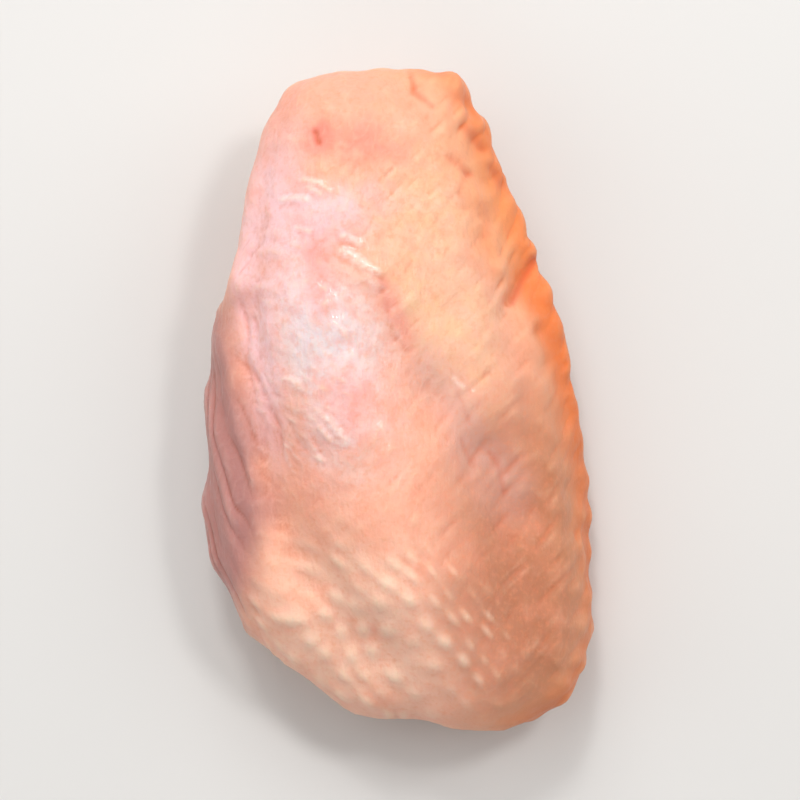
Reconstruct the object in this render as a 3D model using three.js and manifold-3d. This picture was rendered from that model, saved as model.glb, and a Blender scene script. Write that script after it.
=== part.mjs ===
import * as THREE from 'three';
import { MarchingCubes } from 'three/addons/objects/MarchingCubes.js';
import { mergeVertices } from 'three/addons/utils/BufferGeometryUtils.js';
import { ImprovedNoise } from 'three/addons/math/ImprovedNoise.js';
import Module from 'manifold-3d';

// A raw left chicken wing, folded shut, lying with its outer side up. Millimetres, +Z up.
// The wrist is at +Y and the elbow at -Y. The forearm lies on top, the upper arm beside and
// beneath it at -X, and the hand is folded back from the wrist, under the shoulder end.
// The body is one smooth blend of fat lines and sheets, drawn as a mesh where its distance is 0.

// Each limb has stations from its +Y end to its -Y end: x, y and z of its middle, then its radius.
const stations = {
  leadingEdge: [
    [-15.2, 43.4, 22.6, 5.4], [-20.4, 26, 23.2, 4.2], [-21, 8, 24, 4],
    [-14, -12, 23, 5], [0, -32, 18.5, 8],
  ],
  radius: [
    [-8, 40, 24.4, 10], [-10.5, 24, 26.2, 9.8], [-7.5, -2, 23.4, 12],
    [3, -24, 19.8, 13.6], [12, -37, 15, 13],
  ],
  ulna: [
    [1.5, 40.5, 21.2, 10.4], [4, 24, 20.6, 10.2], [10.5, 4, 17.6, 9.8],
    [17.2, -16, 14.4, 9.4], [17, -36, 13, 12],
  ],
  trailingEdge: [
    [7, 41, 17, 6], [15.4, 26, 14.6, 4.8], [22.3, 8, 11, 4.6],
    [25, -12, 7, 5], [25.5, -34, 6, 5.4],
  ],
  humerus: [
    [-16, 17, 16.5, 12.6], [-16.5, -4, 16, 13.6],
    [-15.5, -24, 14.4, 13.4], [-2, -37.5, 12.8, 12.4],
  ],
  handFront: [
    [-9, 39, 14, 7.5], [-12.5, 25, 7.5, 5.4],
    [-12.5, 5, 5, 4.6], [-9, -20, 3.6, 3.2],
  ],
  handRear: [
    [3, 38, 12.5, 7], [-0.5, 24, 6.8, 5],
    [-4.5, 4, 4.5, 4.2], [-7.5, -21, 3.2, 2.9],
  ],
};

// How softly neighbouring parts flow into each other.
const forearmBlend = 6;
const foldBlend = 3.2;
const handBlend = 2.6;

// The cut through the shoulder, and the round head of its bone.
const cutCentre = new THREE.Vector3(-17, 21, 16);
const cutNormal = new THREE.Vector3(-0.45, 0.89, 0).normalize();
const cutRounding = 2;
const boneHead = { point: new THREE.Vector3(-20, 16.2, 15), radius: 5.8 };

// Skin relief.
const follicles = { pitch: 6, rowGap: 5.6, skew: 0.45, height: 0.62, reach: 22 };
const webFolds = {
  pitch: 5, lean: 0.2, bend: 0.8, bendLength: 7, height: 0.5,
  fromX: -18, fullX: -24, fromY: 18, fullY: 8,
};
const unevenness = { size: 11, height: 0.5 };
const grooves = [
  {
    name: 'valley',
    path: [[-8.6, 22.4], [-1.7, 10.4], [6.2, 1.7], [14.8, -8.6], [18.3, -16]],
    depth: 1.1,
    width: 4.5,
  },
  { name: 'web crease', path: [[-23, 14], [-22.5, 2], [-19.5, -14], [-14, -28]], depth: 1.4, width: 2 },
  { name: 'edge crease', path: [[20.6, 21.6], [17.2, 15]], depth: 1.1, width: 1.6 },
  { name: 'wrist crease', path: [[3.2, 49], [1.8, 45.5], [5, 43.5]], depth: 0.9, width: 1.6 },
  { name: 'wrist pit', path: [[-12, 41.5], [-12, 40]], depth: 0.9, width: 1.6 },
];
const knobs = [
  { name: 'thumb', point: new THREE.Vector3(7.6, 46.8, 23), radius: 4.2, height: 1.3 },
  { name: 'elbow corner', point: new THREE.Vector3(24.5, -36, 12), radius: 6, height: 1.1 },
];
const topSideFrom = 9;
const topSideFull = 16;

// Mesh quality, and the thin slice that flattens the spots that the wing rests on.
const stationCount = 9;
const gridSize = 58;
const gridSpan = 118;
const gridCentre = new THREE.Vector3(0, 0, 24);
const mostTriangles = 40000;
const relaxRounds = 8;
const relaxShare = 0.6;
const slopeStep = 0.05;
const longestSlide = 0.8;
const restSlice = 0.6;
const skinColor = '#f4bd9f';
const skinRoughness = 0.42;

const noise = new ImprovedNoise();
const { smoothstep, lerp } = THREE.MathUtils;

function chainOf(limb) {
  const curve = new THREE.CatmullRomCurve3(limb.map(([x, y, z]) => new THREE.Vector3(x, y, z)));
  const radii = new THREE.SplineCurve(limb.map(([, , , r], i) => new THREE.Vector2(i, r)));
  const chain = [];
  for (let i = 0; i < stationCount; i++) {
    const t = i / (stationCount - 1);
    chain.push({ point: curve.getPoint(t), radius: radii.getPoint(t).y });
  }
  return chain;
}

function limbAlong(chain) {
  return chain.slice(1).map((end, i) => ({
    line: new THREE.Line3(chain[i].point, end.point),
    radii: [chain[i].radius, end.radius],
  }));
}

function fatTriangle(a, b, c) {
  return { triangle: new THREE.Triangle(a.point, b.point, c.point), radii: [a.radius, b.radius, c.radius] };
}

function sheetBetween(left, right) {
  const sheet = [];
  for (let i = 0; i + 1 < left.length; i++) {
    sheet.push(fatTriangle(left[i], right[i], left[i + 1]));
    sheet.push(fatTriangle(right[i], right[i + 1], left[i + 1]));
  }
  return sheet;
}

const nearest = new THREE.Vector3();
const weights = new THREE.Vector3();
const fromCut = new THREE.Vector3();

function distanceToPiece(p, piece) {
  if (piece.line) {
    const t = piece.line.closestPointToPointParameter(p, true);
    piece.line.at(t, nearest);
    return nearest.distanceTo(p) - lerp(piece.radii[0], piece.radii[1], t);
  }
  piece.triangle.closestPointToPoint(p, nearest);
  piece.triangle.getBarycoord(nearest, weights);
  const radius = weights.x * piece.radii[0] + weights.y * piece.radii[1] + weights.z * piece.radii[2];
  return nearest.distanceTo(p) - radius;
}

function distanceTo(p, pieces) {
  let least = Infinity;
  for (const piece of pieces) {
    least = Math.min(least, distanceToPiece(p, piece));
  }
  return least;
}

function blend(a, b, width) {
  const overlap = Math.max(width - Math.abs(a - b), 0) / width;
  return Math.min(a, b) - overlap * overlap * width / 4;
}

function blendedCut(a, b, width) {
  return -blend(-a, -b, width);
}

const radiusChain = chainOf(stations.radius);
const ulnaChain = chainOf(stations.ulna);
const trailingChain = chainOf(stations.trailingEdge);

const radiusSide = [...limbAlong(radiusChain), ...sheetBetween(chainOf(stations.leadingEdge), radiusChain)];
const ulnaSide = [...limbAlong(ulnaChain), ...sheetBetween(radiusChain, ulnaChain)];
const trailingSkin = sheetBetween(ulnaChain, trailingChain);
const upperArm = limbAlong(chainOf(stations.humerus));
const hand = sheetBetween(chainOf(stations.handFront), chainOf(stations.handRear));

function trailingEdgeAt(y) {
  let i = 1;
  while (i + 1 < stationCount && trailingChain[i].point.y > y) i++;
  const upper = trailingChain[i - 1];
  const lower = trailingChain[i];
  const t = (upper.point.y - y) / (upper.point.y - lower.point.y);
  return lerp(upper.point.x + upper.radius, lower.point.x + lower.radius, t);
}

function follicleRelief(p) {
  const inward = Math.max(trailingEdgeAt(p.y) - p.x, 0);
  const strength = 1 - smoothstep(inward, 0, follicles.reach);
  const along = Math.cos(2 * Math.PI * (p.y - follicles.skew * inward) / follicles.pitch);
  const across = Math.cos(2 * Math.PI * inward / follicles.rowGap);
  return follicles.height * strength * (along + across) / 2;
}

function webRelief(p) {
  const belowCut = 1 - smoothstep(p.y, webFolds.fullY, webFolds.fromY);
  const strength = belowCut * (1 - smoothstep(p.x, webFolds.fullX, webFolds.fromX));
  const bend = webFolds.bend * Math.sin(p.y / webFolds.bendLength);
  const across = 2 * Math.PI * (p.x + webFolds.lean * p.y) / webFolds.pitch;
  return webFolds.height * strength * Math.cos(across + bend);
}

function distanceToPath(p, path) {
  let least = Infinity;
  for (let i = 1; i < path.length; i++) {
    const [ax, ay] = path[i - 1];
    const [bx, by] = path[i];
    const t = ((p.x - ax) * (bx - ax) + (p.y - ay) * (by - ay)) / ((bx - ax) ** 2 + (by - ay) ** 2);
    const s = THREE.MathUtils.clamp(t, 0, 1);
    least = Math.min(least, Math.hypot(p.x - lerp(ax, bx, s), p.y - lerp(ay, by, s)));
  }
  return least;
}

function unevenRelief(p) {
  const { size, height } = unevenness;
  return height * noise.noise(p.x / size, p.y / size, p.z / size);
}

function hollow(distance, width) {
  return Math.exp(-((distance / width) ** 2));
}

function relief(p) {
  const topSide = smoothstep(p.z, topSideFrom, topSideFull);
  let height = follicleRelief(p) + topSide * webRelief(p) + unevenRelief(p);
  for (const { path, depth, width } of grooves) {
    height -= topSide * depth * hollow(distanceToPath(p, path), width);
  }
  for (const knob of knobs) {
    height += knob.height * hollow(p.distanceTo(knob.point), knob.radius);
  }
  return height;
}

function cutArmDistance(p) {
  const cut = fromCut.copy(p).sub(cutCentre).dot(cutNormal);
  const arm = blendedCut(distanceTo(p, upperArm), cut, cutRounding);
  return blend(arm, p.distanceTo(boneHead.point) - boneHead.radius, cutRounding);
}

function wingDistance(p) {
  const bones = blend(distanceTo(p, radiusSide), distanceTo(p, ulnaSide), forearmBlend);
  const forearm = blend(bones, distanceTo(p, trailingSkin), forearmBlend);
  const folded = blend(forearm, cutArmDistance(p), foldBlend);
  return blend(folded, distanceTo(p, hand), handBlend) - relief(p);
}

function drawnGeometry() {
  const grid = new MarchingCubes(gridSize, new THREE.MeshBasicMaterial(), false, false, mostTriangles);
  grid.isolation = 0;
  const scale = gridSpan / 2;
  const half = gridSize / 2;
  const p = new THREE.Vector3();
  for (let cell = 0; cell < grid.field.length; cell++) {
    const x = cell % gridSize;
    const y = Math.floor(cell / gridSize) % gridSize;
    const z = Math.floor(cell / gridSize / gridSize);
    p.set(x, y, z).subScalar(half).multiplyScalar(scale / half).add(gridCentre);
    grid.field[cell] = -wingDistance(p);
  }
  grid.update();
  const points = grid.positionArray.slice(0, grid.count * 3);
  const geometry = new THREE.BufferGeometry();
  geometry.setAttribute('position', new THREE.BufferAttribute(points, 3));
  geometry.scale(scale, scale, scale);
  geometry.translate(gridCentre.x, gridCentre.y, gridCentre.z);
  return mergeVertices(geometry, 1e-3);
}

function slopeAt(p, here) {
  const slope = new THREE.Vector3();
  for (const axis of ['x', 'y', 'z']) {
    const beside = p.clone();
    beside[axis] += slopeStep;
    slope[axis] = (wingDistance(beside) - here) / slopeStep;
  }
  return slope;
}

function neighboursOf(geometry) {
  const neighbours = Array.from({ length: geometry.attributes.position.count }, () => new Set());
  const index = geometry.index.array;
  for (let i = 0; i < index.length; i += 3) {
    for (let corner = 0; corner < 3; corner++) {
      neighbours[index[i + corner]].add(index[i + (corner + 1) % 3]);
      neighbours[index[i + (corner + 1) % 3]].add(index[i + corner]);
    }
  }
  return neighbours;
}

// Evens out the triangles: each point slides towards the middle of its neighbours along the skin.
function relax(geometry) {
  const position = geometry.attributes.position;
  const neighbours = neighboursOf(geometry);
  const p = new THREE.Vector3();
  const pull = new THREE.Vector3();
  for (let round = 0; round < relaxRounds; round++) {
    for (let i = 0; i < position.count; i++) {
      pull.set(0, 0, 0);
      for (const other of neighbours[i]) {
        pull.add(nearest.fromBufferAttribute(position, other));
      }
      p.fromBufferAttribute(position, i);
      pull.divideScalar(neighbours[i].size).sub(p).multiplyScalar(relaxShare);
      const here = wingDistance(p);
      const slope = slopeAt(p, here);
      pull.addScaledVector(slope, -(pull.dot(slope) + here) / slope.lengthSq());
      p.add(pull.clampLength(0, longestSlide));
      position.setXYZ(i, p.x, p.y, p.z);
    }
  }
}

const wasm = await Module();
wasm.setup();

function solidOf(geometry) {
  const bare = new THREE.BufferGeometry().setAttribute('position', geometry.attributes.position);
  bare.setIndex(geometry.index);
  const merged = mergeVertices(bare, 1e-4);
  const vertProperties = merged.attributes.position.array;
  return new wasm.Manifold(new wasm.Mesh({ numProp: 3, vertProperties, triVerts: merged.index.array }));
}

function geometryOf(solid) {
  const mesh = solid.getMesh();
  const geometry = new THREE.BufferGeometry();
  geometry.setAttribute('position', new THREE.BufferAttribute(mesh.vertProperties, 3));
  geometry.setIndex(new THREE.BufferAttribute(mesh.triVerts, 1));
  return geometry;
}

function wingGeometry() {
  const drawn = drawnGeometry();
  relax(drawn);
  const slice = new THREE.BoxGeometry(gridSpan, gridSpan, gridSpan);
  slice.translate(0, 0, restSlice - gridSpan / 2);
  // Only the outside is kept: a pocket closed in between the limbs is filled.
  const shells = solidOf(drawn).subtract(solidOf(slice)).decompose();
  const [outside] = shells.sort((a, b) => b.volume() - a.volume());
  const geometry = geometryOf(outside);
  geometry.computeBoundingBox();
  const centre = geometry.boundingBox.getCenter(new THREE.Vector3());
  return geometry.translate(-centre.x, -centre.y, -geometry.boundingBox.min.z);
}

const skin = new THREE.MeshStandardMaterial({ color: skinColor, roughness: skinRoughness, metalness: 0 });
const wing = new THREE.Mesh(wingGeometry(), skin);
wing.name = 'chicken_wing';

const group = new THREE.Group();
group.add(wing);

export default group;
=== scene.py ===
import math
from types import SimpleNamespace

import bmesh
import bpy
import numpy as np
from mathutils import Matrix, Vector, noise


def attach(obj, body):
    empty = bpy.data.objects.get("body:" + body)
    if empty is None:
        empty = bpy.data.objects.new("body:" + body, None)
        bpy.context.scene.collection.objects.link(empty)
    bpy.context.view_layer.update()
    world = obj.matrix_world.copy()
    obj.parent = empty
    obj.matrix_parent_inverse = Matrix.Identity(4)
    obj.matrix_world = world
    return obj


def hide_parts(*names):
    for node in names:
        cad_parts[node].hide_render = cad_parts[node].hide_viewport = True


# A raw left chicken wing with its skin on, seen from straight above. The wrist is at +Y, the
# feathered edge at +X. Lengths in the dictionaries are millimetres in the CAD frame, and turns
# are degrees. A pair that isn't a place, a size or a spread of values gives two places on a
# scale: where something starts and where it is full.

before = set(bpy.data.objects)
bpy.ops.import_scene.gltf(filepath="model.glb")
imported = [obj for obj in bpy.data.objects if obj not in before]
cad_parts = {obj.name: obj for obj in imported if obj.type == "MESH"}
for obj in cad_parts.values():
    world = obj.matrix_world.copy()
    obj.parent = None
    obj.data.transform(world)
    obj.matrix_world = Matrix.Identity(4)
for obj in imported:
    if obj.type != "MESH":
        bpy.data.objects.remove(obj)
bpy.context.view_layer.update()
print("frame loaded")

mm = 0.001


def hexColor(text):
    # sRGB hex to linear, with alpha
    channels = [int(text[i:i + 2], 16) / 255 for i in (1, 3, 5)]
    linear = [c / 12.92 if c <= 0.04045 else ((c + 0.055) / 1.055) ** 2.4 for c in channels]
    return (*linear, 1.0)


def addNode(tree, kind, inputs=None, **settings):
    # a node with its settings, and its inputs set to a value or linked to another socket
    node = tree.nodes.new(kind)
    for name, value in settings.items():
        setattr(node, name, value)
    for name, value in (inputs or {}).items():
        if isinstance(value, bpy.types.NodeSocket):
            tree.links.new(value, node.inputs[name])
        else:
            node.inputs[name].default_value = value
    return node


# The skin's mesh: the CAD solid rounded off, then drawn again in even small faces

skinMesh = {
    "mergeWithin": 0.001,
    "roundingLevels": 2,
    "voxel": 0.72,
    "smoothRounds": 4,
    "smoothShare": 0.5,
    "fineAbove": 6,       # faces above this height that face up by this much are split once more
    "fineSlope": 0.3,
    "splitRounds": 2,     # how often the points of split faces are smoothed, and how far
    "splitShare": 0.5,
}


def appliedMesh(obj):
    bpy.context.view_layer.update()
    evaluated = obj.evaluated_get(bpy.context.evaluated_depsgraph_get())
    mesh = bpy.data.meshes.new_from_object(evaluated)
    obj.modifiers.clear()
    obj.data = mesh


def splitUpperFaces(mesh):
    bm = bmesh.new()
    bm.from_mesh(mesh)
    bm.normal_update()
    upper = [
        face for face in bm.faces
        if face.normal.z > skinMesh["fineSlope"]
        and face.calc_center_median().z > skinMesh["fineAbove"] * mm
    ]
    edges = list({edge for face in upper for edge in face.edges})
    split = bmesh.ops.subdivide_edges(bm, edges=edges, cuts=1, use_grid_fill=True)
    touched = [item for item in split["geom"] if isinstance(item, bmesh.types.BMVert)]
    for _ in range(skinMesh["splitRounds"]):
        bmesh.ops.smooth_vert(
            bm, verts=touched, factor=skinMesh["splitShare"],
            use_axis_x=True, use_axis_y=True, use_axis_z=True,
        )
    # a whole face beside a split one has got more than four corners
    bmesh.ops.triangulate(bm, faces=[face for face in bm.faces if len(face.verts) > 4])
    bm.to_mesh(mesh)
    bm.free()


def makeSkin():
    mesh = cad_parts["chicken_wing"].data.copy()
    mesh.materials.clear()
    bm = bmesh.new()
    bm.from_mesh(mesh)
    bmesh.ops.remove_doubles(bm, verts=bm.verts, dist=skinMesh["mergeWithin"] * mm)
    bm.to_mesh(mesh)
    bm.free()
    obj = bpy.data.objects.new("wing_skin", mesh)
    bpy.context.scene.collection.objects.link(obj)
    rounding = obj.modifiers.new("rounding", "SUBSURF")
    rounding.levels = rounding.render_levels = skinMesh["roundingLevels"]
    remesh = obj.modifiers.new("even faces", "REMESH")
    remesh.mode = "VOXEL"
    remesh.voxel_size = skinMesh["voxel"] * mm
    smooth = obj.modifiers.new("smooth", "SMOOTH")
    smooth.iterations = skinMesh["smoothRounds"]
    smooth.factor = skinMesh["smoothShare"]
    appliedMesh(obj)
    splitUpperFaces(obj.data)
    return obj


wing = makeSkin()
print("skin drawn:", len(wing.data.vertices), "points,", len(wing.data.polygons), "faces")


# Places on the mesh, in millimetres


def pointsOf(mesh):
    co = np.empty(len(mesh.vertices) * 3)
    mesh.vertices.foreach_get("co", co)
    return co.reshape(-1, 3) / mm


def normalsOf(mesh):
    normals = np.empty(len(mesh.vertices) * 3, np.float32)
    mesh.vertex_normals.foreach_get("vector", normals)
    return normals.reshape(-1, 3).astype(float)


def pushOut(mesh, height):
    # moves each point along its normal, and never below the floor
    co = pointsOf(mesh) + normalsOf(mesh) * height[:, None]
    co[:, 2] = np.maximum(co[:, 2], 0)
    mesh.vertices.foreach_set("co", (co * mm).ravel())
    mesh.update()


def smoothstep(value, start, full):
    t = np.clip((value - start) / (full - start), 0, 1)
    return t * t * (3 - 2 * t)


def softNoise(points, size, seed, stretch=(1, 1, 1)):
    # each seed reads another place of the same noise
    shift = Vector((seed * 13.7, seed * 7.1, seed * 3.3))
    scaled = points / (np.array(stretch) * size)
    return np.array([noise.noise(Vector(p) + shift) for p in scaled])


def distanceToPath(points, path):
    least = np.full(len(points), np.inf)
    for a, b in zip(path, path[1:]):
        a, b = np.array(a, float), np.array(b, float)
        along = np.clip(((points[:, :2] - a) @ (b - a)) / ((b - a) @ (b - a)), 0, 1)
        nearest = a + along[:, None] * (b - a)
        least = np.minimum(least, np.linalg.norm(points[:, :2] - nearest, axis=1))
    return least


def patch(points, centre, radii, turn=0, soft=0.5, share=1):
    # its share inside a turned ellipse seen from above, fading to 0 past the edge
    c, s = math.cos(math.radians(turn)), math.sin(math.radians(turn))
    dx, dy = points[:, 0] - centre[0], points[:, 1] - centre[1]
    reach = np.hypot((dx * c + dy * s) / radii[0], (dy * c - dx * s) / radii[1])
    return share * (1 - smoothstep(reach, 1 - soft, 1 + soft))


edgeRows = {
    "end": 52,        # rows across the wing, from -end to end
    "step": 2,
    "evenOver": 5,    # how many rows are averaged
}


def featheredEdge(points):
    # how far each point lies from the feathered edge, round the skin
    end, step, evenOver = edgeRows["end"], edgeRows["step"], edgeRows["evenOver"]
    rows = np.arange(-end, end + step / 2, step)
    slices = [points[np.abs(points[:, 1] - y) < step] for y in rows]
    edge = np.array([near[near[:, 0].argmax()] for near in slices])
    x, _, z = (
        np.convolve(np.pad(side, evenOver // 2, "edge"), np.ones(evenOver) / evenOver, "valid")
        for side in edge.T
    )
    y = points[:, 1]
    return np.hypot(np.interp(y, rows, x) - points[:, 0], points[:, 2] - np.interp(y, rows, z))


# Unevenness: smooth noise of one or more sizes, stretched where it is longer one way

unevenness = {
    "rows": [
        {"strength": 1.1, "size": 12, "seed": 1},
        {"strength": 2.4, "size": 15, "seed": 23},
    ],
    "feathers": [{"strength": 2.2, "size": 14, "seed": 17}],
    "follicles": [{"strength": 0.8, "size": 9, "seed": 18}],
    "goosebumps": [{"strength": 1, "size": 12, "seed": 12}],
    "streaks": [{"strength": 1, "size": 6, "seed": 19}],
    "webFolds": [
        {"strength": 3.4, "size": 10, "seed": 2, "stretch": (1, 3, 1)},
        {"strength": 1.3, "size": 4.5, "seed": 25, "stretch": (1, 2.5, 1)},
    ],
    "webHeight": [{"strength": 2.2, "size": 6, "seed": 3, "stretch": (1, 2.4, 1)}],
    "lines": [{"strength": 0.6, "size": 5, "seed": 14}],
    # lumps of meat, and slack skin
    "flow": [
        {"strength": 0.6, "size": 12, "seed": 16},
        {"strength": 0.2, "size": 4.5, "seed": 6},
    ],
    "fineWrinkles": [{"strength": 1, "size": 1.9, "seed": 7, "stretch": (1, 1.6, 1)}],
    "colours": [
        {"strength": 2, "size": 10, "seed": 21},
        {"strength": 0.5, "size": 3, "seed": 22},
    ],
}


def uneven(points, name):
    total = np.zeros(len(points))
    for wave in unevenness[name]:
        stretch = wave.get("stretch", (1, 1, 1))
        total += wave["strength"] * softNoise(points, wave["size"], wave["seed"], stretch)
    return total


# The zones of colour: patches seen from above, each with how softly it ends

zones = {
    "belly": {"soft": 0.5, "patches": [{"centre": (-10.6, 6), "radii": (9.5, 18.5), "turn": 14}]},
    # lilac of the muscle under thin skin, partly a painted sheen
    "lilacSheen": {"soft": 0.8, "patches": [{"centre": (-11.8, 8.5), "radii": (5.5, 12), "turn": 12}]},
    "elbow": {"soft": 0.6, "patches": [{"centre": (-6, -36), "radii": (18, 14), "turn": -15}]},
    # painted shade: the lower right of the wing darker orange-brown
    "low": {"soft": 0.6, "patches": [{"centre": (24, -26), "radii": (15, 26)}]},
    # painted light: a brighter orange over the shaded slope beside the feathered edge
    "litAmber": {"soft": 0.9, "patches": [{"centre": (14.6, 29), "radii": (4.2, 11), "turn": 24}]},
    "cream": {"soft": 0.8, "patches": [
        {"centre": (1.5, 29), "radii": (8, 12), "turn": 10},
        {"centre": (7, 12), "radii": (6, 12), "turn": 25},
    ]},
    "blush": {"soft": 0.9, "patches": [
        {"centre": (-20.5, 28), "radii": (6, 15)},
        {"centre": (-10, 28), "radii": (6, 4), "turn": 20},
        # a pink that also lightens the shaded slope at the forearm's left side: painted light
        {"centre": (-21.5, 5), "radii": (2.6, 13), "turn": 8},
    ]},
    "flush": {"soft": 0.9, "patches": [
        {"centre": (-12.4, 39.4), "radii": (2.2, 2)},
        {"centre": (-5, 39), "radii": (6, 3), "turn": -10, "share": 0.9},
        {"centre": (-7.5, -1), "radii": (5, 4), "share": 0.6},
        {"centre": (-2, 12.5), "radii": (1.2, 5.5), "turn": 25, "share": 0.6},
        {"centre": (-11.5, 20), "radii": (2.4, 5), "turn": 10, "share": 0.7},
        {"centre": (-14, -9), "radii": (4, 6), "turn": 20, "share": 0.3},
    ]},
    "warm": {"soft": 0.9, "patches": [
        {"centre": (-5, 48), "radii": (17, 5), "turn": -3},
        {"centre": (-21, 42), "radii": (3, 6), "turn": -20},
    ]},
}

# The colours that follow a form: how far each reaches

forms = {
    "facingUp": (-0.2, 0.5),      # z of the skin's normal
    "underside": (0.2, -0.5),
    "shadeUnder": 0.7,            # share of the low zone's shade that the underside loses
    "tract": (24, 2),             # distance from the feathered edge
    "thinCrease": 2,              # creases narrower than this have a colour of their own: red, deepened by painted shade
    "creaseShade": 1.9,
    "creaseSide": (-25, -14),     # x over which that colour comes in beside the web
    "thinRidge": 1,               # ridges narrower than this get a painted glint along their crest
    "paintedGlintStrength": 3,
    "wet": 1.5,                   # how far the moisture spreads from a wrinkle that glints
    "bellyWet": 0.35,
    # a mauve tint with painted shade along the valley beside the forearm's muscle
    "valley": {"path": [(4, 5), (9, -3), (15, -11), (17.5, -15)], "reach": 6},
    # the web reaches further over the forearm round bulgeAt, and less far at its top
    "web": {
        "side": (21, 28),
        "top": (22, 12),
        "bulge": 4.5,
        "bulgeAt": -14,
        "bulgeLength": 12,
        "drawnIn": 1.5,
        "drawnInOver": (0, 12),
    },
    # the cut through the shoulder joint: a point in it, the way it faces, and its bone's head
    "cut": {
        "centre": (-17, 21, 15.4),
        "facing": (-0.45, 0.89, 0),
        "turnsIn": (0.25, 0.6),
        "reach": 11.5,
        "edge": 1.5,
        "wander": 0.3,
        "deep": 3,
        "deepEdge": 2,
    },
    "boneHead": {"centre": (-20, 16.2, 14.4), "radius": 6.8, "edge": 1.6, "wander": 0.5},
    # painted shade in hollows and painted light on bumps, each found by smoothing the skin this
    # often
    "hollows": [{"rounds": 3, "strength": 3.2}, {"rounds": 22, "strength": 0.32}],
}


def patches(points, zone):
    return sum(patch(points, soft=zone["soft"], **ellipse) for ellipse in zone["patches"])


# Skin relief. In its dictionaries, long and wide are the distances along a row and between rows,
# reachLong and reachWide are how far one bump spreads, and weakerAt says by what share a relief
# gives way to the parts of the skin.

skinParts = {
    "top": (8, 15),               # height above the floor
    "facingUp": (-0.1, 0.6),      # z of the skin's normal
    "tract": (22, 7),             # distance from the feathered edge
    "tractWander": 3,
    "rim": (9, 1),
    "webSide": (-20, -27),        # x, and y for its top
    "webTop": (19, 13),
    "sunk": 0.3,                  # how far the skin is drawn in before its relief is pushed out
    "low": {"centre": (18, -16), "radii": (14, 28), "soft": 0.4},
    "elbow": {"centre": (-9, -38), "radii": (24, 17), "soft": 0.35},
    "stretched": {**zones["belly"], "soft": 0.4},
    "shoulder": {"centre": (-19, 26), "radii": (8, 18)},
    "crinkled": {"centre": (-15, -4), "radii": (7.5, 8), "turn": 25, "soft": 0.7},
    # calmer skin beside the valley, and over the elbow
    "calm": {"centre": (8, 0), "radii": (5, 9), "turn": 38, "share": 0.6},
    "calmElbow": 0.5,
    # the skin laid flat for the rows: as seen from above, and down the left side past turnsDown
    "lean": 0.2,
    "turnsDown": (-14, -24),
    "sideFrom": 20,
}

bumpRows = {
    "places": 64,         # after how many places the random shifts repeat
    "smallest": 0.5,
    "largest": 1.1,
}

cobbles = {
    # soft lumps round the big feathers' follicles, in slanted rows along the feathered edge
    "long": 5.2,
    "wide": 4.4,
    "reachLong": 1.9,
    "reachWide": 1.6,
    "jitter": 0.2,
    "height": 0.56,
    "seed": 5,
    "weakerAt": {"calm": 1, "rim": 0.5, "low": 0.6},
}

pits = {
    # the shallow holes that big feathers leave
    "long": 7.4,
    "wide": 6.2,
    "reachLong": 1.3,
    "reachWide": 0.8,
    "jitter": 0.3,
    "height": -0.24,
    "seed": 6,
    "weakerAt": {"calm": 1, "rim": 0.5},
}

scallops = {
    # folds that slant down and inward from the feathered edge, one for each big feather
    "pitch": 5.2,
    "lean": 0.9,
    "height": 0.46,
    "sharpness": 0.8,
}

follicles = {
    # short creases that rise to the right
    "long": 5.2,
    "wide": 3.5,
    "reachLong": 1.5,
    "reachWide": 0.45,
    "jitter": 0.26,
    "height": -0.17,
    "seed": 12,
    "weakerAt": {"stretched": 1, "elbow": 1, "web": 1, "low": 0.5, "calm": 1},
    "outsideTract": 0.7,  # share of the height away from the tract, and what it gains there
    "moreInTract": 0.6,
    "steady": 0.75,       # share of the height that doesn't vary from place to place
}

# a soft bump below each of those creases
follicleBumps = {**follicles, "reachWide": 1.1, "height": 0.24, "below": 1.1}

goosebumps = {
    # small bumps round the small feathers' follicles
    "long": 3.4,
    "wide": 3.0,
    "reachLong": 0.95,
    "reachWide": 0.8,
    "jitter": 0.2,
    "height": 0.14,
    "seed": 9,
    "weakerAt": {"tract": 0.6, "elbow": 1, "web": 1, "low": 0.6},
    "here": (-0.5, 0.2),  # they come and go between these values of their noise
}

elbowBumps = {
    # long narrow bumps in slanted rows over the elbow end
    "long": 4.4,
    "wide": 3.1,
    "reachLong": 1.65,
    "reachWide": 0.92,
    "jitter": 0.22,
    "height": 0.44,
    "seed": 15,
    "weakerAt": {"tract": 1, "web": 1},
}

slantWrinkles = {
    # short creases that rise towards the feathered edge, below the middle
    "long": 8.0,
    "wide": 4.2,
    "reachLong": 2.8,
    "reachWide": 0.65,
    "jitter": 0.3,
    "height": -0.25,
    "seed": 11,
    "weakerAt": {"elbow": 1},
}

streaks = {
    # thin raised wrinkles on the forearm's stretched skin, which catch the light
    "long": 4.2,
    "wide": 2.3,
    "reachLong": 1.1,
    "reachWide": 0.34,
    "jitter": 0.42,
    "height": 0.1,
    "seed": 21,
    "weakerAt": {"tract": 0.4},
    "here": (-0.25, 0.25),
    "turn": -28,
    "wander": 0.5,
    "crinkled": 1.6,      # how much higher they are where the skin is crinkled
}

webWrinkles = {
    # long folds of the thin web at the left, which run along the upper arm to the elbow
    "armCentre": (-13, 15),   # x and z
    "armRadius": 14,
    "pitch": 2.4,
    "lean": 0.26,
    "height": 0.4,
    "steady": 0.8,
    "aboveFloor": (2, 12),
    "softTop": 0.35,          # share of the height left at the top of the web
    "slackens": (14, -5),
}

fineWrinkles = {
    # a net of fine raised lines where the skin has no bumps
    "height": 0.06,
    "sharpness": 5,
    "lowShare": 0.7,
}

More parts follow.
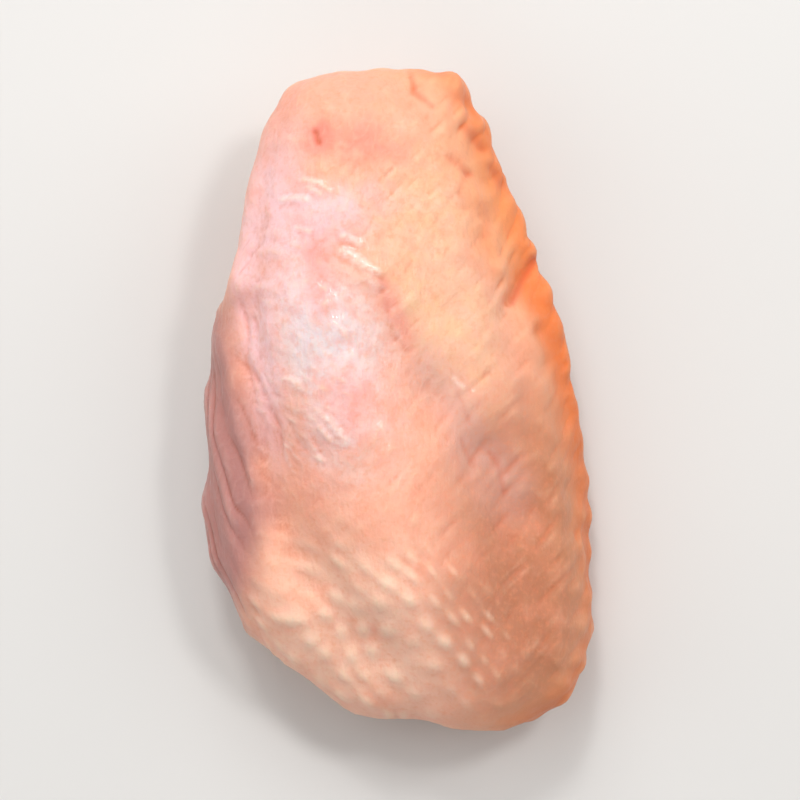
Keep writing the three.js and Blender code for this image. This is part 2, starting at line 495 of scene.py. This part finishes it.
creases = [
    {"path": [(21, 22), (19.2, 18.8), (17.4, 15.2)], "depth": 0.42, "width": 0.7},
    {"path": [(1.3, 49.6), (2.2, 47), (5.1, 44.9)], "depth": 0.22, "width": 0.5},
    {"path": [(10.2, 41.4), (12.8, 39)], "depth": 0.28, "width": 0.9},
    {"path": [(7.6, 36.8), (9, 35.2), (10.6, 34.4)], "depth": 0.2, "width": 0.8},
    {"path": [(14.2, 35.8), (15.6, 33.6)], "depth": 0.28, "width": 0.9},
    {"path": [(10.4, 34.6), (9, 31.4)], "depth": 0.14, "width": 0.7},
    {"path": [(12.6, 30), (13.6, 27.6), (13.2, 25.4)], "depth": 0.16, "width": 0.7},
    {"path": [(-13, 40.2), (-12.4, 39)], "depth": 0.32, "width": 0.6},
    # between the forearm and the web, fading out at both ends
    {
        "path": [(-24.6, 19), (-24.3, 13), (-23.1, 6), (-20.6, 1), (-18.8, -4), (-17.4, -11)],
        "depth": 0.36,
        "width": 0.7,
        "fade": 8,
    },
    {"path": [(-22.8, 12), (-21, 5.4), (-18.8, 0.6)], "depth": 0.12, "width": 0.5},
    {"path": [(-3.2, 17.5), (-2.4, 14.5), (-1, 10), (0.4, 7.6)], "depth": 0.11, "width": 0.5},
    {"path": [(-16.4, -3.4), (-14.6, -7.6)], "depth": 0.14, "width": 0.5},
    {"path": [(-14.2, -4.6), (-12.6, -8)], "depth": 0.12, "width": 0.5},
    {"path": [(12, -5), (16, -10.5), (20, -20)], "depth": 0.5, "width": 3.2},
    {"path": [(8.6, 1), (10.4, -3.4)], "depth": 0.09, "width": 0.5},
    {"path": [(13.6, -8.4), (15, -10.8), (16.4, -13.8)], "depth": 0.1, "width": 0.5},
    {"path": [(9.2, -6), (11.4, -10)], "depth": 0.08, "width": 0.5},
]

ridges = [
    {"path": [(-8.6, 22.4), (-6, 20.9), (-3.6, 19.3)], "height": 0.3, "width": 0.65},
    {"path": [(-8.4, 24.6), (-6.6, 23.4)], "height": 0.24, "width": 0.6},
    {"path": [(-5, 18.6), (-3.6, 17.3)], "height": 0.22, "width": 0.55},
    {"path": [(-14.6, 33.2), (-12.6, 32.6), (-10.6, 31.6)], "height": 0.2, "width": 0.55},
    {"path": [(-14.2, 31.6), (-12.4, 30.8)], "height": 0.16, "width": 0.5},
    {"path": [(-17.4, 30.6), (-16, 30.4), (-14.6, 29.8)], "height": 0.24, "width": 0.6},
    {"path": [(-15.6, 26), (-13.8, 25.4)], "height": 0.18, "width": 0.5},
    {"path": [(-11, -3.2), (-9.6, -4.8), (-8.2, -6)], "height": 0.26, "width": 0.7},
    {"path": [(-12.2, -4.4), (-10.6, -6.2)], "height": 0.2, "width": 0.55},
    {"path": [(-17.6, 3), (-15.4, 2.4)], "height": 0.18, "width": 0.5},
    {"path": [(-16.8, -1), (-14.4, -1.6)], "height": 0.1, "width": 0.5},
    {"path": [(-14.4, -5), (-13, -7.4)], "height": 0.16, "width": 0.45},
    {"path": [(-13.2, -7.6), (-12, -9.4)], "height": 0.12, "width": 0.45},
    {"path": [(-12.8, -1.6), (-11.6, -3)], "height": 0.12, "width": 0.45},
    {"path": [(-17.6, -7), (-16.6, -10)], "height": 0.12, "width": 0.45},
    {"path": [(-9.6, 12), (-8.2, 10.4)], "height": 0.14, "width": 0.5},
    {"path": [(8.4, 3.6), (9.6, 2)], "height": 0.16, "width": 0.5},
    {"path": [(4.3, 48.2), (4.1, 46.2)], "height": 0.3, "width": 1.2},
    # the low ridge of muscle beside the valley
    {"path": [(-3, 20), (0, 14.5), (4, 8), (6.5, 4), (11, -3)], "height": 1.25, "width": 4.2},
]

corners = [
    # where the wrist's outline swells or draws in
    {"centre": (-20.5, 46), "radius": 3, "push": -0.9},
    {"centre": (-14.5, 50), "radius": 3, "push": 0.5},
    {"centre": (-2.5, 52), "radius": 4, "push": -0.7},
    {"centre": (8.2, 49.6), "radius": 2.2, "push": 1.4},
    {"centre": (11.2, 45.8), "radius": 1.8, "push": -0.9},
    # and the shoulder's
    {"centre": (-26, 18.6), "radius": 3.2, "push": 0.9},
    {"centre": (-29, 12.5), "radius": 2.2, "push": -0.5},
]


def partsOf(points, normals):
    # each point's place in the rows, and how far it belongs to each part of the skin
    x, y, z = points.T
    inward = featheredEdge(points)
    wander = uneven(points, "rows")
    downSide = (z - skinParts["sideFrom"]) * smoothstep(x, *skinParts["turnsDown"])
    unrolled = x - skinParts["lean"] * z + downSide + wander
    upward = smoothstep(normals[:, 2], *skinParts["facingUp"])
    elbow = patch(points, **skinParts["elbow"]) * upward
    web = smoothstep(x, *skinParts["webSide"]) * smoothstep(y, *skinParts["webTop"])
    return SimpleNamespace(
        points=points,
        inward=inward,
        wander=wander,
        rising=(y + unrolled) / math.sqrt(2),
        falling=(y - unrolled) / math.sqrt(2),
        top=smoothstep(z, *skinParts["top"]),
        upward=upward,
        tract=smoothstep(inward + skinParts["tractWander"] * wander, *skinParts["tract"]),
        rim=smoothstep(inward, *skinParts["rim"]),
        web=web,
        low=patch(points, **skinParts["low"]) * upward,
        elbow=elbow,
        calm=1 - (1 - skinParts["calmElbow"] * elbow) * (1 - patch(points, **skinParts["calm"])),
        stretched=patches(points, skinParts["stretched"]),
        shoulder=patch(points, **skinParts["shoulder"]) * upward,
        crinkled=patch(points, **skinParts["crinkled"]) * (1 - web),
    )


def bumpsIn(rows, along, across):
    # rounded bumps in staggered rows, each shifted a little from its place
    places = bumpRows["places"]
    rng = np.random.default_rng(rows["seed"])
    shifts = rng.uniform(-rows["jitter"], rows["jitter"], (places, places, 2))
    sizes = rng.uniform(bumpRows["smallest"], bumpRows["largest"], (places, places))
    u, v = along / rows["long"], across / rows["wide"]
    height = np.zeros(len(u))
    for dv in (-1, 0, 1):
        j = np.floor(v).astype(int) + dv
        stagger = 0.5 * (j % 2)
        for du in (-1, 0, 1):
            i = np.floor(u - stagger).astype(int) + du
            shift = shifts[i % places, j % places]
            gapU = (u - stagger - i - 0.5 - shift[:, 0]) * rows["long"] / rows["reachLong"]
            gapV = (v - j - 0.5 - shift[:, 1]) * rows["wide"] / rows["reachWide"]
            height += sizes[i % places, j % places] * np.exp(-gapU ** 2 - gapV ** 2)
    return height


def strengthOf(rows, skin):
    strength = np.ones(len(skin.points))
    for part, share in rows["weakerAt"].items():
        strength *= 1 - share * getattr(skin, part)
    return strength


def raised(rows, skin, shift=0):
    # the relief of one kind of bump, or of crease where its height is below 0
    bumps = bumpsIn(rows, skin.rising, skin.falling + shift)
    return rows["height"] * strengthOf(rows, skin) * bumps


def featherRelief(skin):
    feather = skin.points[:, 1] + scallops["lean"] * skin.inward + uneven(skin.points, "feathers")
    fold = np.abs(np.sin(math.pi * feather / scallops["pitch"])) ** scallops["sharpness"]
    rimFolds = scallops["height"] * skin.rim * skin.top * fold
    return skin.tract * (raised(cobbles, skin) + raised(pits, skin)) + rimFolds


def follicleRelief(skin):
    inTract = follicles["outsideTract"] + follicles["moreInTract"] * skin.tract
    varied = follicles["steady"] + uneven(skin.points, "follicles")
    both = raised(follicles, skin) + raised(follicleBumps, skin, follicleBumps["below"])
    bumpy = smoothstep(uneven(skin.points, "goosebumps"), *goosebumps["here"])
    return skin.upward * inTract * varied * both + bumpy * raised(goosebumps, skin)


def crinklesOf(skin):
    x, y, _ = skin.points.T
    turn = math.radians(streaks["turn"])
    along = x * math.cos(turn) + y * math.sin(turn)
    across = y * math.cos(turn) - x * math.sin(turn) + streaks["wander"] * skin.wander
    return bumpsIn(streaks, along, across)


def streakShare(skin):
    tautAndGlint = np.maximum(skin.stretched, skin.shoulder) * strengthOf(streaks, skin)
    patchy = smoothstep(uneven(skin.points, "streaks"), *streaks["here"])
    return skin.upward * (tautAndGlint * patchy + streaks["crinkled"] * skin.crinkled)


def webRelief(skin):
    x, y, z = skin.points.T
    armX, armZ = webWrinkles["armCentre"]
    girth = webWrinkles["armRadius"] * np.arctan2(z - armZ, armX - x)
    phase = girth + webWrinkles["lean"] * y + uneven(skin.points, "webFolds")
    fold = np.abs(np.sin(math.pi * phase / webWrinkles["pitch"])) - 0.5
    softTop = webWrinkles["softTop"]
    slack = softTop + (1 - softTop) * smoothstep(y, *webWrinkles["slackens"])
    varied = webWrinkles["steady"] + uneven(skin.points, "webHeight")
    reach = skin.web * smoothstep(z, *webWrinkles["aboveFloor"]) * slack
    return webWrinkles["height"] * reach * varied * fold


def alongLines(points, lines, measure):
    # creases' depth or ridges' height at each point, each line a little crooked
    bent = points + uneven(points, "lines")[:, None]
    total = np.zeros(len(points))
    for line in lines:
        gap = distanceToPath(bent, line["path"])
        part = line[measure] * np.exp(-(gap / line["width"]) ** 2)
        if "fade" in line:
            ends = np.array([line["path"][0], line["path"][-1]])
            fromEnd = np.linalg.norm(bent[:, None, :2] - ends, axis=2).min(axis=1)
            part *= smoothstep(fromEnd, 0, line["fade"])
        total += part
    return total


def lineRelief(skin):
    x, y, _ = skin.points.T
    height = alongLines(skin.points, ridges, "height") - alongLines(skin.points, creases, "depth")
    for corner in corners:
        gap = np.hypot(x - corner["centre"][0], y - corner["centre"][1]) / corner["radius"]
        height += corner["push"] * np.exp(-gap ** 2)
    return skin.top * height


def fineWrinkleRelief(skin):
    bumpyParts = np.maximum(np.maximum(skin.tract, skin.elbow), fineWrinkles["lowShare"] * skin.low)
    gap = np.abs(uneven(skin.points, "fineWrinkles"))
    line = np.maximum(0, 1 - fineWrinkles["sharpness"] * gap)
    return fineWrinkles["height"] * (1 - bumpyParts) * line


def skinRelief(skin):
    # the height of all the relief, and the tips that get painted light
    acrossRows = bumpsIn(elbowBumps, skin.falling, skin.rising)
    elbowTips = skin.elbow * strengthOf(elbowBumps, skin) * acrossRows
    crinkles = crinklesOf(skin)
    height = featherRelief(skin) + follicleRelief(skin)
    height += skin.low * raised(slantWrinkles, skin) + elbowBumps["height"] * elbowTips
    height += streaks["height"] * streakShare(skin) * crinkles
    height += webRelief(skin) + lineRelief(skin)
    height += uneven(skin.points, "flow") + fineWrinkleRelief(skin)
    tips = {"elbowTips": elbowTips, "crinkles": skin.crinkled * crinkles}
    return height - skinParts["sunk"], tips


relief, tips = skinRelief(partsOf(pointsOf(wing.data), normalsOf(wing.data)))
pushOut(wing.data, relief)
print("skin relief pushed out")


# Zones of colour, kept as attributes on the skin


def cavityOf(mesh, rounds):
    # positive in hollows and negative on bumps, from the points around each point
    co = pointsOf(mesh)
    edges = np.empty(len(mesh.edges) * 2, int)
    mesh.edges.foreach_get("vertices", edges)
    a, b = edges.reshape(-1, 2).T
    ends, others = np.concatenate([a, b]), np.concatenate([b, a])
    count = np.bincount(ends, minlength=len(co))
    smooth = co.copy()
    for _ in range(rounds):
        sums = [np.bincount(ends, smooth[others, axis], len(co)) for axis in range(3)]
        smooth = np.stack(sums, axis=1) / count[:, None]
    return np.einsum("ij,ij->i", smooth - co, normalsOf(mesh))


def keepZone(mesh, name, values):
    attribute = mesh.attributes.new(name, "FLOAT", "POINT")
    attribute.data.foreach_set("value", np.clip(values, 0, 1).astype(np.float32))


def keepPatches(mesh, points, up, under):
    for name in ("belly", "lilacSheen", "elbow", "cream", "blush", "flush", "litAmber"):
        keepZone(mesh, name, up * patches(points, zones[name]))
    keepZone(mesh, "warm", patches(points, zones["warm"]))
    # the low zone is painted shade, which the underside keeps less of
    keepZone(mesh, "low", patches(points, zones["low"]) * (1 - forms["shadeUnder"] * under))


def keepLines(mesh, points, belly):
    thinCreases = [crease for crease in creases if crease["width"] < forms["thinCrease"]]
    shade = forms["creaseShade"] * alongLines(points, thinCreases, "depth")
    keepZone(mesh, "crease", shade * smoothstep(points[:, 0], *forms["creaseSide"]))
    thinRidges = [ridge for ridge in ridges if ridge["width"] < forms["thinRidge"]]
    # painted glint along the thin ridges
    keepZone(mesh, "tautAndGlint", forms["paintedGlintStrength"] * alongLines(points, thinRidges, "height"))
    nearest = np.min([distanceToPath(points, ridge["path"]) for ridge in thinRidges], axis=0)
    keepZone(mesh, "wet", np.exp(-(nearest / forms["wet"]) ** 2) + forms["bellyWet"] * belly)


def keepWeb(mesh, points, wander):
    web = forms["web"]
    x, y, _ = points.T
    reach = web["bulge"] * np.exp(-((y - web["bulgeAt"]) / web["bulgeLength"]) ** 2)
    reach -= web["drawnIn"] * smoothstep(y, *web["drawnInOver"])
    keepZone(mesh, "web", smoothstep(wander - x + reach, *web["side"]) * smoothstep(y, *web["top"]))


def keepCut(mesh, points, normals, wander):
    cut, head = forms["cut"], forms["boneHead"]
    facing = np.array(cut["facing"]) / np.linalg.norm(cut["facing"])
    fromCut = points - np.array(cut["centre"])
    distance = np.linalg.norm(fromCut, axis=1) + cut["wander"] * wander
    within = 1 - smoothstep(distance, cut["reach"] - cut["edge"], cut["reach"])
    onPlane = 1 - smoothstep(np.abs(fromCut @ facing), cut["deep"], cut["deep"] + cut["deepEdge"])
    inCut = within * onPlane * smoothstep(normals @ facing, *cut["turnsIn"])
    keepZone(mesh, "flesh", inCut)
    fromHead = np.linalg.norm(points - np.array(head["centre"]), axis=1) + head["wander"] * wander
    onHead = 1 - smoothstep(fromHead, head["radius"] - head["edge"], head["radius"])
    keepZone(mesh, "cartilage", inCut * onHead)


def paintZones(mesh):
    points = pointsOf(mesh)
    normals = normalsOf(mesh)
    up = smoothstep(normals[:, 2], *forms["facingUp"])
    under = smoothstep(normals[:, 2], *forms["underside"])
    wander = uneven(points, "colours")
    moved = points + wander[:, None]
    keepZone(mesh, "under", under)
    keepZone(mesh, "tract", smoothstep(featheredEdge(points) + wander, *forms["tract"]))
    keepPatches(mesh, moved, up, under)
    keepLines(mesh, points, patches(moved, zones["belly"]))
    valley = distanceToPath(moved, forms["valley"]["path"])
    keepZone(mesh, "valley", up * (1 - smoothstep(valley, 0, forms["valley"]["reach"])))
    keepWeb(mesh, points, wander)
    keepCut(mesh, points, normals, wander)
    # how hollow the skin is, for painted shade in hollows and painted light on bumps
    hollow = sum(scale["strength"] * cavityOf(mesh, scale["rounds"]) for scale in forms["hollows"])
    keepZone(mesh, "hollow", 0.5 + hollow)


paintZones(wing.data)
# the elbow bumps' tips and the crinkles, kept for painted light on them
for name, values in tips.items():
    keepZone(wing.data, name, values)
print("colour zones painted")


# Raw chicken skin: moist, thin and translucent, so that light glows through it and the muscle
# and fat beneath show as pink, lilac and cream patches, the lilac partly a painted sheen. Fine wet
# wrinkles catch the light. The colour also holds painted shade and painted light, marked where they
# are.

rawSkin = {
    "base": "#f4b095",
    "under": "#eec1a8",
    "elbow": "#fbcdb4",
    "cream": "#f4caa9",
    "belly": "#ebbeb1",
    # lilac, partly a painted sheen
    "lilacSheen": "#e0d0d3",
    "blush": "#ffcdd0",
    # painted shade over the low zone
    "low": "#b2704f",
    # mauve tint and painted shade of the valley
    "valley": "#d8aba0",
    "warm": "#f3a48c",
    "tract": "#f9ab7a",
    "rim": "#e87433",
    # painted light over the shaded slope beside the feathered edge
    "litAmber": "#ffa266",
    # mauve of the thin web, darkened further as painted shade
    "web": "#ac7876",
    "flush": "#f07e74",
    # red of the thin creases, partly painted shade in them
    "crease": "#cc553a",
    "flesh": "#d9837c",
    "cartilage": "#eadcd2",
    # painted glint on thin ridges and crinkles
    "tautAndGlint": "#fff3ee",
    # painted highlight on the elbow bumps' tips
    "bumpTipLight": "#fbe0c8",
    # painted shade in hollows and painted light on tips: on plain skin, in the tract and on the web
    "dipShade": "#cc6f4e",
    "tractDipShade": "#ea8048",
    "webDipShade": "#a2604f",
    "tipLight": "#fdd3b2",
    "tractTipLight": "#f5a674",
    "webTipLight": "#dcb5ac",
    "warmPatch": "#f4a184",
    "yellowFat": "#f0c195",
    "paleFat": "#f6e3e0",
    "rosyMeat": "#ee9f8b",
    "grain": "#e8946f",
    # coats of those colours over the zones of the same names, in order, and how far they cover
    "groundCoats": {
        "under": 0.6, "elbow": 0.7, "cream": 0.55, "belly": 0.85,
        "lilacSheen": 0.95, "blush": 0.9, "low": 0.85,
    },
    "fatCoats": {"valley": 0.6, "warm": 0.5, "tract": 0.68},
    # more of the low zone's painted shade over the edge, then the amber patch's painted light
    "edgeCoats": {"low": 0.3, "litAmber": 0.6},
    "sideCoats": {"web": 0.85, "flush": 0.5},
    "lastCoats": {"crease": 0.65, "flesh": 0.9, "cartilage": 0.9},
    "roughness": 0.42,
    "scatter": 0.5,       # how far red light spreads in skin
    "patchSize": 5.5,
    "mottleSize": 2.6,
    "fatSize": 3.64,
    "fatTurn": 40,
    "grainSize": 0.9,
    "wrinkleSize": 1.0,   # fine wrinkles, drawn a little coarser than real ones
    "wrinkleStretch": (1.6, 0.5, 1),
    "wrinkleTurn": 35,
    "wrinkleDepth": 0.09,
    "poreSize": 0.45,
    "poreDepth": 0.045,
}


def makeRawSkin():
    material = bpy.data.materials.new("raw chicken skin")
    material.use_nodes = True
    tree = material.node_tree
    tree.nodes.clear()
    place = addNode(tree, "ShaderNodeTexCoord").outputs["Object"]

    def zone(name):
        return addNode(tree, "ShaderNodeAttribute", attribute_name=name).outputs["Fac"]

    def speckle(size, detail, stretch=(1, 1, 1), turn=0):
        turned = addNode(tree, "ShaderNodeMapping", {
            "Vector": place, "Rotation": (0, 0, math.radians(turn)), "Scale": stretch,
        })
        return addNode(tree, "ShaderNodeTexNoise", {
            "Vector": turned.outputs["Vector"], "Scale": 1 / (size * mm),
            "Detail": detail, "Roughness": 0.55,
        }).outputs["Fac"]

    def ramp(value, between, most, least=0.0):
        low, high = between
        return addNode(tree, "ShaderNodeMapRange", {
            "Value": value, "From Min": low, "From Max": high, "To Min": least, "To Max": most,
        }).outputs["Result"]

    def mixed(color, other, share):
        return addNode(tree, "ShaderNodeMix", {
            "Factor": share, "A": color, "B": other,
        }, data_type="RGBA").outputs["Result"]

    def product(first, second):
        node = addNode(tree, "ShaderNodeMath", operation="MULTIPLY")
        tree.links.new(first, node.inputs[0])
        tree.links.new(second, node.inputs[1])
        return node.outputs["Value"]

    def covered(color, name, share):
        return mixed(color, hexColor(rawSkin[name]), share)

    def painted(color, coats):
        for name, cover in rawSkin[coats].items():
            color = covered(color, name, ramp(zone(name), (0, 1), cover))
        return color

    def byPart(plain, inTract, onWeb):
        color = mixed(hexColor(rawSkin[plain]), hexColor(rawSkin[inTract]), zone("tract"))
        return covered(color, onWeb, zone("web"))

    patchwork = speckle(rawSkin["patchSize"], 3.0)
    mottle = speckle(rawSkin["mottleSize"], 3.0)
    color = painted(hexColor(rawSkin["base"]), "groundCoats")
    color = covered(color, "warmPatch", ramp(patchwork, (0.5, 0.72), most=0.45))

    # fat and meat that show through: pale and rosy in the forearm, yellow beside it
    inBelly = ramp(zone("belly"), (0.2, 1.0), most=1.0, least=0.12)
    color = covered(color, "paleFat", product(ramp(mottle, (0.44, 0.74), most=0.52), inBelly))
    roundBelly = ramp(zone("belly"), (0.1, 0.8), most=0.9, least=0.5)
    color = covered(color, "rosyMeat", product(ramp(mottle, (0.52, 0.26), most=0.46), roundBelly))
    fatPatches = speckle(rawSkin["fatSize"], 2.0, turn=rawSkin["fatTurn"])
    inCream = ramp(zone("cream"), (0.0, 0.8), most=1.0, least=0.1)
    color = covered(color, "yellowFat", product(ramp(fatPatches, (0.44, 0.7), most=0.55), inCream))
    color = painted(color, "fatCoats")

    # the feathered edge and the sides
    color = covered(color, "rim", ramp(zone("tract"), (0.62, 1.0), most=0.85))
    color = painted(color, "edgeCoats")
    fatGrain = speckle(rawSkin["grainSize"], 2.0)
    color = covered(color, "grain", ramp(fatGrain, (0.5, 0.74), most=0.3))
    color = painted(color, "sideCoats")

    # painted shade in hollows; painted light on tips and bump tips; painted glints on thin wrinkles
    # and ridges
    dipShadeShare = ramp(zone("hollow"), (0.53, 1.0), most=0.75)
    color = mixed(color, byPart("dipShade", "tractDipShade", "webDipShade"), dipShadeShare)
    tipLightShare = ramp(zone("hollow"), (0.47, 0.1), most=0.35)
    color = mixed(color, byPart("tipLight", "tractTipLight", "webTipLight"), tipLightShare)
    color = covered(color, "bumpTipLight", ramp(zone("elbowTips"), (0.25, 0.95), most=0.42))
    color = covered(color, "tautAndGlint", ramp(zone("crinkles"), (0.3, 1.0), most=0.4))
    broken = ramp(fatGrain, (0.3, 0.6), most=0.4, least=1.0)
    color = covered(color, "tautAndGlint", product(ramp(zone("tautAndGlint"), (0.1, 1.0), most=0.65), broken))
    color = painted(color, "lastCoats")

    wrinkle = speckle(
        rawSkin["wrinkleSize"], 1.5, stretch=rawSkin["wrinkleStretch"], turn=rawSkin["wrinkleTurn"],
    )
    wrinkles = addNode(tree, "ShaderNodeBump", {
        "Strength": 1.0, "Distance": rawSkin["wrinkleDepth"] * mm, "Height": wrinkle,
    })
    pores = addNode(tree, "ShaderNodeBump", {
        "Strength": 1.0, "Distance": rawSkin["poreDepth"] * mm,
        "Height": speckle(rawSkin["poreSize"], 1.0), "Normal": wrinkles.outputs["Normal"],
    })
    duller, shinier = rawSkin["roughness"] + 0.1, rawSkin["roughness"] - 0.08
    shader = addNode(tree, "ShaderNodeBsdfPrincipled", {
        "Base Color": color,
        "Roughness": ramp(mottle, (0.3, 0.7), most=duller, least=shinier),
        "IOR": 1.4,
        "Specular IOR Level": 0.2,
        "Subsurface Weight": 0.36,
        "Subsurface Radius": (1.0, 0.42, 0.28),
        "Subsurface Scale": rawSkin["scatter"] * mm,
        "Coat Weight": ramp(zone("wet"), (0.0, 1.0), most=0.95, least=0.06),
        "Coat Roughness": 0.16,
        "Coat IOR": 1.38,
        "Normal": pores.outputs["Normal"],
        "Coat Normal": wrinkles.outputs["Normal"],
    })
    addNode(tree, "ShaderNodeOutputMaterial", {"Surface": shader.outputs["BSDF"]})
    return material


wing.data.materials.append(makeRawSkin())
wing.data.shade_smooth()
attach(wing, "root")
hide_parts("chicken_wing")
print("skin finished")


# Stage: a plain pale floor, soft light from the top of the picture, a camera straight above

stage = {
    "floorColor": "#dbd9d6",
    "floorSize": 3000,
    "frameHeight": 124,       # what the picture shows, measured at planeHeight over the floor
    "planeHeight": 20,
    "lens": 150,
    "sensor": 36,
    "aimHeight": 15,          # the point that the lamps face, above the origin
    "worldStrength": 0.28,
    "lamps": {
        "key light": {"place": (-120, 700, 620), "size": (600, 350), "power": 2.6},
        "overhead light": {"place": (-140, 200, 800), "size": (380, 380), "power": 0.8},
        "left fill": {"place": (-600, 50, 450), "size": (600, 600), "power": 1.05},
        "front fill": {"place": (-150, -600, 500), "size": (600, 600), "power": 0.7},
        "right fill": {"place": (600, 340, 580), "size": (700, 700), "power": 2.15},
        # two small lamps, which show as glints on wet skin
        "left glint": {"place": (-80, 440, 640), "size": (110, 110), "power": 1.3, "glossy": True},
        "right glint": {"place": (280, 260, 700), "size": (110, 110), "power": 1.3, "glossy": True},
    },
}


def makeFloor():
    bm = bmesh.new()
    bmesh.ops.create_grid(bm, x_segments=1, y_segments=1, size=stage["floorSize"] * mm / 2)
    mesh = bpy.data.meshes.new("floor")
    bm.to_mesh(mesh)
    bm.free()
    # matt board: no sheen, so that the wing's shadow stays soft and plain
    material = bpy.data.materials.new("matt pale board")
    material.use_nodes = True
    shader = material.node_tree.nodes["Principled BSDF"]
    shader.inputs["Base Color"].default_value = hexColor(stage["floorColor"])
    shader.inputs["Roughness"].default_value = 0.85
    mesh.materials.append(material)
    floor = bpy.data.objects.new("floor", mesh)
    bpy.context.scene.collection.objects.link(floor)


def makeLamp(name, place, size, power, glossy=False):
    light = bpy.data.lights.new(name, "AREA")
    light.shape = "RECTANGLE"
    light.size, light.size_y = size[0] * mm, size[1] * mm
    light.energy = power
    lamp = bpy.data.objects.new(name, light)
    lamp.location = Vector(place) * mm
    towardsWing = Vector((0, 0, stage["aimHeight"])) - Vector(place)
    lamp.rotation_euler = towardsWing.to_track_quat("-Z", "Y").to_euler()
    lamp.visible_glossy = glossy
    bpy.context.scene.collection.objects.link(lamp)


def makeWorld():
    world = bpy.data.worlds.new("studio")
    world.use_nodes = True
    background = world.node_tree.nodes["Background"]
    background.inputs["Color"].default_value = (1, 1, 1, 1)
    background.inputs["Strength"].default_value = stage["worldStrength"]
    bpy.context.scene.world = world


def makeCamera():
    data = bpy.data.cameras.new("camera")
    data.lens = stage["lens"]
    data.sensor_width = stage["sensor"]
    camera = bpy.data.objects.new("camera", data)
    distance = stage["frameHeight"] * stage["lens"] / stage["sensor"]
    camera.location = (0, 0, (distance + stage["planeHeight"]) * mm)
    bpy.context.scene.collection.objects.link(camera)
    bpy.context.scene.camera = camera


makeFloor()
for name, lamp in stage["lamps"].items():
    makeLamp(name, **lamp)
makeWorld()
makeCamera()
bpy.context.scene.view_settings.view_transform = "Standard"
print("stage set")
